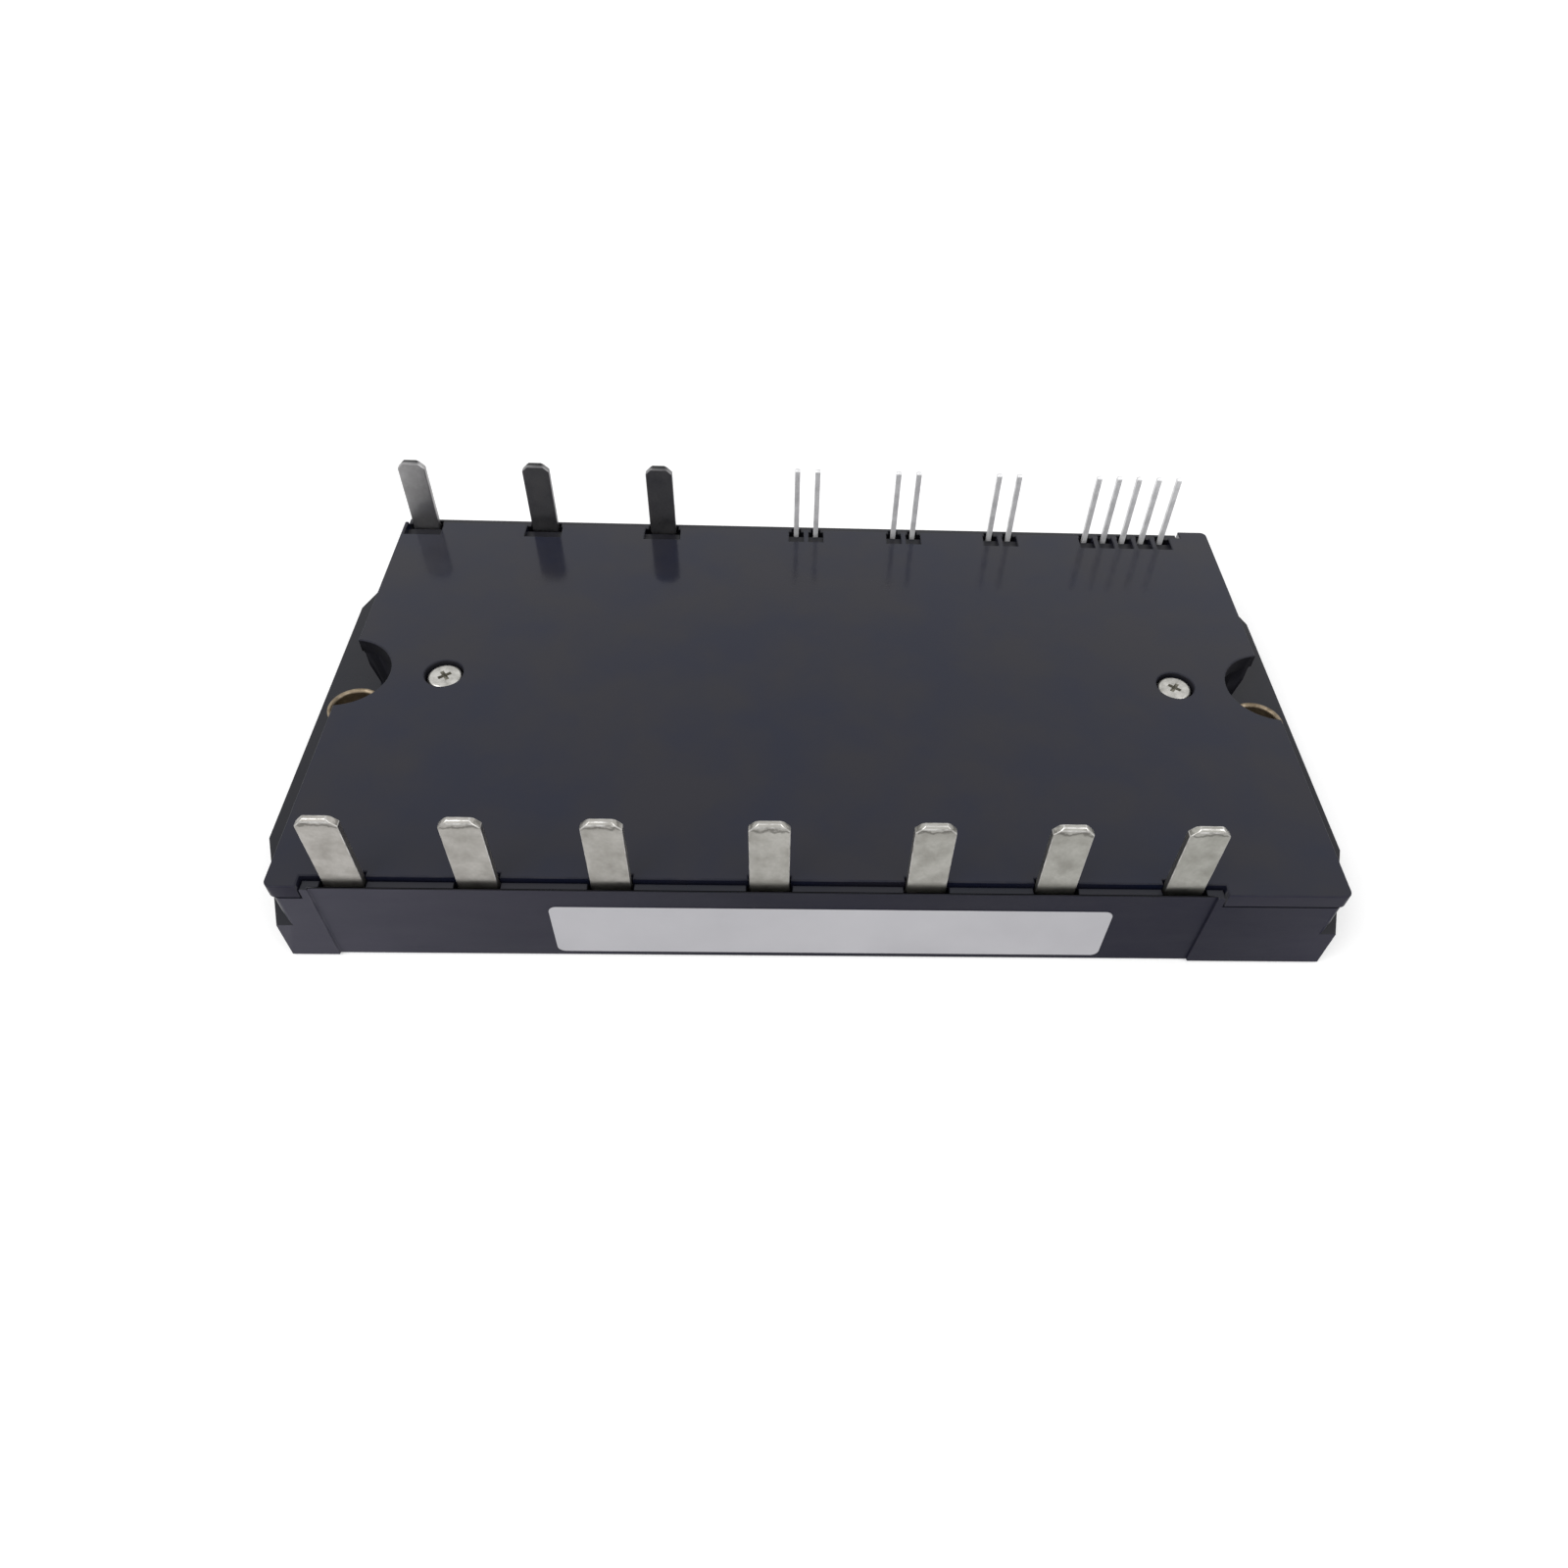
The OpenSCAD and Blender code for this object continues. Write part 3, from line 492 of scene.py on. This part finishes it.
def bothAt(a, b, height):
    return close(a.z, height) and close(b.z, height)


def atFoot(a, b):
    return max(a.z, b.z) < caseForm["footReach"]


def atRailTop(a, b):
    return bothAt(a, b, caseForm["railTop"])


def atEarTop(a, b):
    return bothAt(a, b, caseForm["earTop"]) and min(abs(a.x), abs(b.x)) > caseForm["earFrom"]


def atRecessEnd(a, b):  # upright edges at the two ends of the label's recess
    upright = abs(a.z - b.z) > caseForm["recessHeight"] and close(a.x, b.x) and close(a.y, b.y)
    atEnd = caseForm["recessFrom"] < abs(a.x) < caseForm["recessTo"]
    return upright and atEnd and a.y < -caseForm["recessFace"]


def atLidTop(a, b):
    return bothAt(a, b, lidForm["top"])


def facesUp(normal):
    return normal.z > 0.5


def standsUpright(normal):
    return abs(normal.z) < 0.5


def inNotch(middle, normal):  # walls of the half-round notches over the mounting holes
    beside = abs(middle.x) > notchForm["from"] and abs(middle.y) < notchForm["halfWidth"]
    return beside and notchForm["floor"] < middle.z < notchForm["top"] and standsUpright(normal)


def inSeam(middle, normal):  # walls along the rails that the lid lies between
    beside = caseForm["seamFrom"] < abs(middle.y) < caseForm["seamTo"]
    return beside and middle.z > caseForm["seamFloor"] and standsUpright(normal)


def onEarRailOrEnd(middle, normal):  # upward faces beside the lid, and the end walls with the ears' sides
    onTop = middle.z > caseForm["upperFrom"] and facesUp(normal)
    atEnd = abs(middle.x) > caseForm["endFrom"] and abs(normal.y) < 0.9
    return onTop or atEnd


def inPocket(middle, normal):  # dishes before the back terminals, and the bores of the lid screws
    inDish = middle.y > lidForm["dishFrom"] and middle.z < lidForm["dishTop"] and facesUp(normal)
    awayFromBore = math.hypot(abs(middle.x) - lidForm["boreX"], middle.y)
    inBore = awayFromBore < lidForm["boreReach"] and middle.z < lidForm["boreTop"]
    return inDish or inBore


def onSkirt(middle, normal):  # the lid's front faces, level with the front wall
    return normal.y < -0.7 and middle.y < -lidForm["skirtFace"]


def backBlade(nodeName, pieceName):  # one darker tin on the faces and the rounded edges
    piece = roundedPiece(nodeName, pieceName, [(everyEdge, bladeRound["edge"])], finish=backTin)
    piece.data.materials[1] = backTin


roundedPiece("case", "caseMoulding", [
    (atFoot, caseForm["footRound"]), (atRailTop, caseForm["railRound"]),
    (atEarTop, caseForm["earRound"]), (atRecessEnd, caseForm["recessRound"])],
    [(earPlastic, onEarRailOrEnd), (shadedPlastic, inNotch), (shadedPlastic, inSeam)])
roundedPiece("lid", "lidMoulding", [(atLidTop, lidForm["topRound"])],
             [(skirtPlastic, onSkirt), (shadedPlastic, inNotch), (pocketPlastic, inPocket)])
for nodeName in frame["nodes"]:
    pieceName = nodeName.title().replace("_", "")
    pieceName = pieceName[0].lower() + pieceName[1:] + "Dressed"
    if nodeName.startswith("front_blade"):
        roundedPiece(nodeName, pieceName, [(everyEdge, bladeRound["edge"])])
    elif nodeName.startswith("back_blade"):
        backBlade(nodeName, pieceName)
    elif nodeName.startswith("signal_pin"):
        roundedPiece(nodeName, pieceName, [(everyEdge, bladeRound["pinEdge"], 2)])
    elif nodeName.startswith("mounting_bush"):
        roundedPiece(nodeName, pieceName, [(everyEdge, smallRound["bush"], 2)])
roundedPiece("base_plate", "basePlateDressed", [(everyEdge, smallRound["plate"], 2)])
roundedPiece("label", "labelDressed", [(everyEdge, smallRound["label"], 2)])
print("rounded pieces made")


# Lid screws: pan heads with a tapered cross recess, modelled once in millimetres
screwForm = {"headRadius": 1.96, "headHeight": 1.12, "headRound": 0.4, "shankRadius": 1.0,
             "shankLength": 5.5, "tipLength": 0.6, "tipTaper": 0.5,
             "crossLength": 1.95, "crossWidth": 0.56, "crossFoot": 0.34, "crossDepth": 0.5,
             "seat": 1.0, "turn": 35, "rightTurn": 18}


def selectFaces(piece, wanted):
    pick(piece)
    bpy.ops.object.mode_set(mode="EDIT")
    bpy.ops.mesh.select_mode(type="FACE")
    bpy.ops.mesh.select_all(action="DESELECT")
    bpy.ops.object.mode_set(mode="OBJECT")
    for face in piece.data.polygons:
        face.select = wanted(face)
    bpy.ops.object.mode_set(mode="EDIT")


def makeHead():
    form = screwForm
    bpy.ops.mesh.primitive_cylinder_add(vertices=64, radius=form["headRadius"], depth=form["headHeight"],
                                        location=(0, 0, form["headHeight"]/2))
    head = bpy.context.object
    head.name = "lidScrewForm"
    placeInMesh(head)
    selectFaces(head, lambda face: face.normal.z > 0.9)
    bpy.ops.mesh.bevel(offset=form["headRound"], segments=6, affect="EDGES")
    bpy.ops.object.mode_set(mode="OBJECT")
    selectFaces(head, lambda face: face.normal.z < -0.9)
    bpy.ops.mesh.inset(thickness=form["headRadius"] - form["shankRadius"])
    for length in (form["shankLength"] - form["tipLength"], form["tipLength"]):
        bpy.ops.mesh.extrude_region_move(TRANSFORM_OT_translate={"value": (0, 0, -length)})
    bpy.ops.transform.resize(value=(form["tipTaper"], form["tipTaper"], 1))
    bpy.ops.object.mode_set(mode="OBJECT")
    return head


def makeCrossCutter(angle):
    form = screwForm
    bpy.ops.mesh.primitive_cube_add(size=1, location=(0, 0, form["headHeight"]))
    cutter = bpy.context.object
    cutter.name = "crossCutter"
    cutter.scale = (form["crossLength"], form["crossWidth"], form["crossDepth"]*2)
    cutter.rotation_euler.z = math.radians(angle)
    placeInMesh(cutter)
    selectFaces(cutter, lambda face: face.normal.z < -0.9)
    taper = form["crossFoot"]/form["crossWidth"]
    bpy.ops.transform.resize(value=(taper, taper, 1), center_override=(0, 0, form["headHeight"]))
    bpy.ops.object.mode_set(mode="OBJECT")
    cutter.data.materials.append(recessSteel)
    return cutter


def cutWith(piece, cutter):
    cut = piece.modifiers.new("recess", "BOOLEAN")
    cut.operation = "DIFFERENCE"
    cut.solver = "EXACT"
    cut.material_mode = "TRANSFER"
    cut.object = cutter
    applyModifier(piece, cut)
    bpy.data.objects.remove(cutter)


def makeScrewForm():
    head = makeHead()
    head.data.materials.append(zincSteel)
    for angle in (screwForm["turn"], screwForm["turn"] + 90):
        cutWith(head, makeCrossCutter(angle))
    return head


def placeScrew(form, side, nodeName, pieceName):
    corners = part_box(nodeName)
    low = [min(corner[axis] for corner in corners) for axis in range(3)]
    high = [max(corner[axis] for corner in corners) for axis in range(3)]
    piece = form.copy()
    piece.data = form.data.copy()
    piece.name = pieceName
    bpy.context.scene.collection.objects.link(piece)
    piece.scale = (mm, mm, mm)
    piece.rotation_euler.z = math.radians(screwForm["rightTurn"] if side > 0 else 0)
    piece.location = ((low[0] + high[0])/2, (low[1] + high[1])/2, high[2] - screwForm["seat"]*mm)
    placeInMesh(piece)
    shadeAndSettle(piece, 40)
    return attach(piece, [nodeName])


screwModel = makeScrewForm()
placeScrew(screwModel, -1, "lid_screw_left", "lidScrewLeftDressed")
placeScrew(screwModel, 1, "lid_screw_right", "lidScrewRightDressed")
bpy.data.objects.remove(screwModel)
print("lid screws made")


# Studio: pale floor and room, two soft boxes in front
studio = {"floorSize": 6, "floorDrop": 0.02, "floorTone": 0.86, "nearLift": 0.3, "farLift": 0.6,
          "liftFrom": 0.1, "liftTo": 0.4, "roomTone": 0.55}
viewPoint = {"place": (-0.00369, -0.09278, 0.09679), "turn": (40.802, -2.019, -0.784),
             "lens": 25.238, "shift": (-0.02235, 0.01517)}
softBoxes = [  # place, size in metres and power in watts
    {"name": "keyBox", "place": (-0.55, -0.35, 0.7), "size": 0.6, "power": 4.5},
    {"name": "fillBox", "place": (0.6, -0.35, 0.6), "size": 0.7, "power": 2.5}]


def makeFloor():  # lifted towards white for the camera, more so far from the module
    floorPlace = (0, 0, -studio["floorDrop"]*mm)
    bpy.ops.mesh.primitive_plane_add(size=studio["floorSize"], location=floorPlace)
    floor = bpy.context.object
    floor.name = "studioFloor"
    material = newMaterial("floorPaper")
    shader = shaderOf(material)
    shader.inputs["Base Color"].default_value = (studio["floorTone"],)*3 + (1,)
    shader.inputs["Roughness"].default_value = 0.9
    shader.inputs["Specular IOR Level"].default_value = 0.1
    path = nodeOf(material, "ShaderNodeLightPath")
    glow = nodeOf(material, "ShaderNodeEmission")
    place = nodeOf(material, "ShaderNodeTexCoord")
    away = nodeOf(material, "ShaderNodeVectorMath", operation="LENGTH")
    wire(material, place.outputs["Object"], away.inputs[0])
    fade = stretchRange(material, away.outputs["Value"], studio["liftFrom"], studio["liftTo"],
                        studio["nearLift"], studio["farLift"])
    lift = calculate(material, "MULTIPLY", path.outputs["Is Camera Ray"], fade)
    wire(material, lift, glow.inputs["Strength"])
    both = nodeOf(material, "ShaderNodeAddShader")
    wire(material, shader.outputs[0], both.inputs[0])
    wire(material, glow.outputs[0], both.inputs[1])
    wire(material, both.outputs[0], material.node_tree.nodes["Material Output"].inputs["Surface"])
    floor.data.materials.append(material)


def makeWorld():  # white where it is seen or mirrored, quieter where it lights
    world = bpy.data.worlds.new("paleRoom")
    bpy.context.scene.world = world
    world.use_nodes = True
    path = nodeOf(world, "ShaderNodeLightPath")
    seen = calculate(world, "MAXIMUM", path.outputs["Is Camera Ray"], path.outputs["Is Glossy Ray"])
    seen = calculate(world, "MAXIMUM", seen, path.outputs["Is Transmission Ray"])
    strength = stretchRange(world, seen, 0, 1, studio["roomTone"], 1)
    background = world.node_tree.nodes["Background"]
    background.inputs["Color"].default_value = (1, 1, 1, 1)
    wire(world, strength, background.inputs["Strength"])


def makeLights():
    for box in softBoxes:
        bpy.ops.object.light_add(type="AREA", location=box["place"])
        lamp = bpy.context.object
        lamp.name = box["name"]
        lamp.data.size = box["size"]
        lamp.data.energy = box["power"]
        lamp.rotation_euler = (Vector((0, 0, 0)) - lamp.location).to_track_quat("-Z", "Y").to_euler()


def makeCamera():
    bpy.ops.object.camera_add(location=viewPoint["place"])
    camera = bpy.context.object
    camera.name = "moduleCamera"
    camera.rotation_euler = [math.radians(angle) for angle in viewPoint["turn"]]
    camera.data.lens = viewPoint["lens"]
    camera.data.shift_x, camera.data.shift_y = viewPoint["shift"]
    camera.data.clip_start = 0.001
    bpy.context.scene.camera = camera


makeFloor()
makeWorld()
makeLights()
makeCamera()
bpy.context.scene.view_settings.view_transform = "Standard"
print("studio made")
